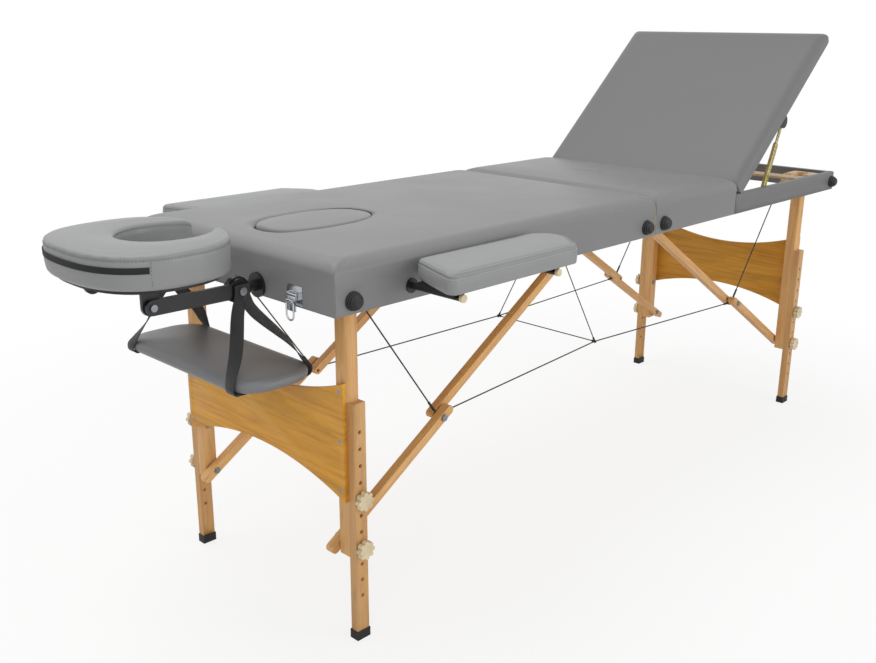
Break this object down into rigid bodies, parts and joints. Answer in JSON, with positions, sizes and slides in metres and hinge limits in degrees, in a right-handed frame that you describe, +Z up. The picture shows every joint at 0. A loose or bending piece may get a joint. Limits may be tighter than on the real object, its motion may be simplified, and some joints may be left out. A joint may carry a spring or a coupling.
{
  "type": "folding massage table",
  "caption": "Folding massage table with lift-up backrest, face cradle, arm sling, side armrests, wooden legs with cable bracing and centre fold.",
  "frame": {"origin": "on the floor, midway along the length from the face pillow's tip to the foot end, on the centre line", "axes": "+X from the face cradle to the backrest end, +Y to the far side, +Z up"},
  "size_m": [2.173, 0.876, 1.0774],
  "materials": {
    "beech": "satin",
    "black_plastic": "satin",
    "black_steel": "satin",
    "chrome": "gloss",
    "cream_plastic": "gloss",
    "foam": "satin",
    "foam_dark": "satin",
    "pine": "satin",
    "plywood": "matte",
    "rubber": "matte",
    "steel": "satin",
    "webbing": "matte",
    "zinc": "satin"
  },
  "bodies": {
    "head_half": {"head_frame": "plywood", "head_cushion": "foam", "head_blocks": "beech", "head_hardware": "steel", "head_bumpers": "rubber", "cradle_sockets": "black_plastic", "armrest_sockets": "black_plastic", "head_cables": "black_steel", "centre_cables": "black_steel", "latch_plates": "chrome"},
    "foot_half": {"foot_frame": "plywood", "seat_cushion": "foam", "foot_blocks": "beech", "foot_hardware": "steel", "foot_bumpers": "rubber", "tilt_brackets": "steel", "foot_cables": "black_steel"},
    "backrest": {"backrest_board": "plywood", "backrest_cushion": "foam", "backrest_brackets": "black_steel"},
    "stay_strips": {"stay_strips": "zinc"},
    "stay_channels": {"stay_channels": "zinc"},
    "head_leg": {"head_posts": "beech", "head_panel": "pine", "head_leg_bolts": "steel"},
    "head_upper_struts": {"head_upper_struts": "beech"},
    "head_lower_struts": {"head_lower_struts": "beech", "head_knee_bolts": "steel"},
    "head_near_foot": {"head_near_extension": "beech", "head_near_cap": "black_plastic"},
    "head_far_foot": {"head_far_extension": "beech", "head_far_cap": "black_plastic"},
    "head_upper_knobs": {"head_upper_knobs": "cream_plastic"},
    "head_lower_knobs": {"head_lower_knobs": "cream_plastic"},
    "foot_leg": {"foot_posts": "beech", "foot_panel": "pine", "foot_leg_bolts": "steel"},
    "foot_upper_struts": {"foot_upper_struts": "beech"},
    "foot_lower_struts": {"foot_lower_struts": "beech", "foot_knee_bolts": "steel"},
    "foot_near_foot": {"foot_near_extension": "beech", "foot_near_cap": "black_plastic"},
    "foot_far_foot": {"foot_far_extension": "beech", "foot_far_cap": "black_plastic"},
    "foot_upper_knobs": {"foot_upper_knobs": "cream_plastic"},
    "foot_lower_knobs": {"foot_lower_knobs": "cream_plastic"},
    "face_plug": {"face_plug": "foam"},
    "cradle_rods": {"cradle_rods": "black_steel"},
    "cradle_arms": {"cradle_arms": "black_steel"},
    "cradle_levers": {"cradle_levers": "black_steel"},
    "cradle_base": {"cradle_base": "black_steel"},
    "face_pillow": {"face_pillow": "foam"},
    "sling": {"sling_board": "foam_dark", "sling_straps": "webbing"},
    "near_armrest": {"near_armrest_pad": "foam", "near_armrest_bracket": "black_steel"},
    "far_armrest": {"far_armrest_pad": "foam", "far_armrest_bracket": "black_steel"},
    "latch_levers": {"latch_levers": "chrome"},
    "latch_bails": {"latch_bails": "chrome"}
  },
  "joints": [
    {"name": "centre_fold", "type": "hinge", "parent": "head_half", "child": "foot_half", "pos_m": [0.1515, 0, 0.6417], "axis": [0, 1, 0], "range_deg": [0, 90], "deforming": ["centre_cables", "head_cables", "foot_cables"]},
    {"name": "head_leg_fold", "type": "hinge", "parent": "head_half", "child": "head_leg", "pos_m": [-0.7015, 0, 0.669], "axis": [0, -1, 0], "range_deg": [0, 90]},
    {"name": "head_upper_strut_fold", "type": "hinge", "parent": "head_half", "child": "head_upper_struts", "pos_m": [0.0675, 0, 0.672], "axis": [0, 1, 0], "range_deg": [0, 32.58]},
    {"name": "head_lower_strut_fold", "type": "hinge", "parent": "head_leg", "child": "head_lower_struts", "pos_m": [-0.7015, 0, 0.1885], "axis": [0, -1, 0], "range_deg": [0, 58.16]},
    {"name": "head_near_foot_height", "type": "slide", "parent": "head_leg", "child": "head_near_foot", "axis": [0, 0, -1], "range_m": [-0.0975, 0.13]},
    {"name": "head_far_foot_height", "type": "slide", "parent": "head_leg", "child": "head_far_foot", "axis": [0, 0, -1], "range_m": [-0.0975, 0.13]},
    {"name": "head_upper_knobs_turn", "type": "hinge", "parent": "head_leg", "child": "head_upper_knobs", "pos_m": [-0.7015, 0, 0.286], "axis": [0, 1, 0], "continuous": true},
    {"name": "head_lower_knobs_turn", "type": "hinge", "parent": "head_leg", "child": "head_lower_knobs", "pos_m": [-0.7015, 0, 0.1885], "axis": [0, 1, 0], "continuous": true},
    {"name": "foot_leg_fold", "type": "hinge", "parent": "foot_half", "child": "foot_leg", "pos_m": [1.0045, 0, 0.669], "axis": [0, 1, 0], "range_deg": [0, 90]},
    {"name": "foot_upper_strut_fold", "type": "hinge", "parent": "foot_half", "child": "foot_upper_struts", "pos_m": [0.2355, 0, 0.672], "axis": [0, -1, 0], "range_deg": [0, 32.58]},
    {"name": "foot_lower_strut_fold", "type": "hinge", "parent": "foot_leg", "child": "foot_lower_struts", "pos_m": [1.0045, 0, 0.1885], "axis": [0, 1, 0], "range_deg": [0, 58.16]},
    {"name": "foot_near_foot_height", "type": "slide", "parent": "foot_leg", "child": "foot_near_foot", "axis": [0, 0, -1], "range_m": [-0.0975, 0.13]},
    {"name": "foot_far_foot_height", "type": "slide", "parent": "foot_leg", "child": "foot_far_foot", "axis": [0, 0, -1], "range_m": [-0.0975, 0.13]},
    {"name": "foot_upper_knobs_turn", "type": "hinge", "parent": "foot_leg", "child": "foot_upper_knobs", "pos_m": [1.0045, 0, 0.286], "axis": [0, 1, 0], "continuous": true},
    {"name": "foot_lower_knobs_turn", "type": "hinge", "parent": "foot_leg", "child": "foot_lower_knobs", "pos_m": [1.0045, 0, 0.1885], "axis": [0, 1, 0], "continuous": true},
    {"name": "backrest_tilt", "type": "hinge", "parent": "foot_half", "child": "backrest", "pos_m": [0.5395, 0, 0.7183], "axis": [0, -1, 0], "range_deg": [-41.6, 0]},
    {"name": "stay_swing", "type": "hinge", "parent": "backrest", "child": "stay_strips", "pos_m": [0.76862, 0, 0.85486], "axis": [0, -1, 0], "range_deg": [-23.63, 0]},
    {"name": "stay_slide", "type": "slide", "parent": "stay_strips", "child": "stay_channels", "axis": [0.3929, 0, 0.9196], "range_m": [0, 0.0925]},
    {"name": "plug_lift", "type": "slide", "parent": "head_half", "child": "face_plug", "axis": [0, 0, 1], "range_m": [0, 0.12]},
    {"name": "cradle_reach", "type": "slide", "parent": "head_half", "child": "cradle_rods", "axis": [-1, 0, 0], "range_m": [0, 0.08]},
    {"name": "cradle_tilt", "type": "hinge", "parent": "cradle_rods", "child": "cradle_arms", "pos_m": [-0.8235, 0, 0.665], "axis": [0, 1, 0], "range_deg": [-25, 20]},
    {"name": "cradle_lever_turn", "type": "hinge", "parent": "cradle_rods", "child": "cradle_levers", "pos_m": [-0.8235, 0, 0.665], "axis": [0, -1, 0], "range_deg": [0, 85]},
    {"name": "cradle_base_tilt", "type": "hinge", "parent": "cradle_arms", "child": "cradle_base", "pos_m": [-0.9885, 0, 0.667], "axis": [0, -1, 0], "range_deg": [0, 15]},
    {"name": "pillow_lift", "type": "slide", "parent": "cradle_base", "child": "face_pillow", "axis": [0, 0, 1], "range_m": [0, 0.1]},
    {"name": "sling_swing", "type": "hinge", "parent": "cradle_rods", "child": "sling", "pos_m": [-0.8235, 0, 0.665], "axis": [0, 1, 0], "range_deg": [-10, 10]},
    {"name": "near_armrest_pull", "type": "slide", "parent": "head_half", "child": "near_armrest", "axis": [0, -1, 0], "range_m": [0, 0.12]},
    {"name": "far_armrest_pull", "type": "slide", "parent": "head_half", "child": "far_armrest", "axis": [0, 1, 0], "range_m": [0, 0.12]},
    {"name": "latch_lever_turn", "type": "hinge", "parent": "head_half", "child": "latch_levers", "pos_m": [-0.785, 0, 0.667], "axis": [0, 1, 0], "range_deg": [0, 90]},
    {"name": "latch_bail_turn", "type": "hinge", "parent": "latch_levers", "child": "latch_bails", "pos_m": [-0.7909, 0, 0.658], "axis": [0, 1, 0], "range_deg": [0, 85]}
  ],
  "couplings": [
    {"joint": "head_leg_fold", "follows": "centre_fold", "ratio": 1},
    {"joint": "head_upper_strut_fold", "follows": "centre_fold", "ratio": 0.36177},
    {"joint": "head_lower_strut_fold", "follows": "centre_fold", "ratio": 0.646},
    {"joint": "foot_leg_fold", "follows": "centre_fold", "ratio": 1},
    {"joint": "foot_upper_strut_fold", "follows": "centre_fold", "ratio": 0.36177},
    {"joint": "foot_lower_strut_fold", "follows": "centre_fold", "ratio": 0.646},
    {"joint": "stay_swing", "follows": "backrest_tilt", "ratio": 0.56747},
    {"joint": "stay_slide", "follows": "backrest_tilt", "m_per_rad": -0.12728}
  ]
}
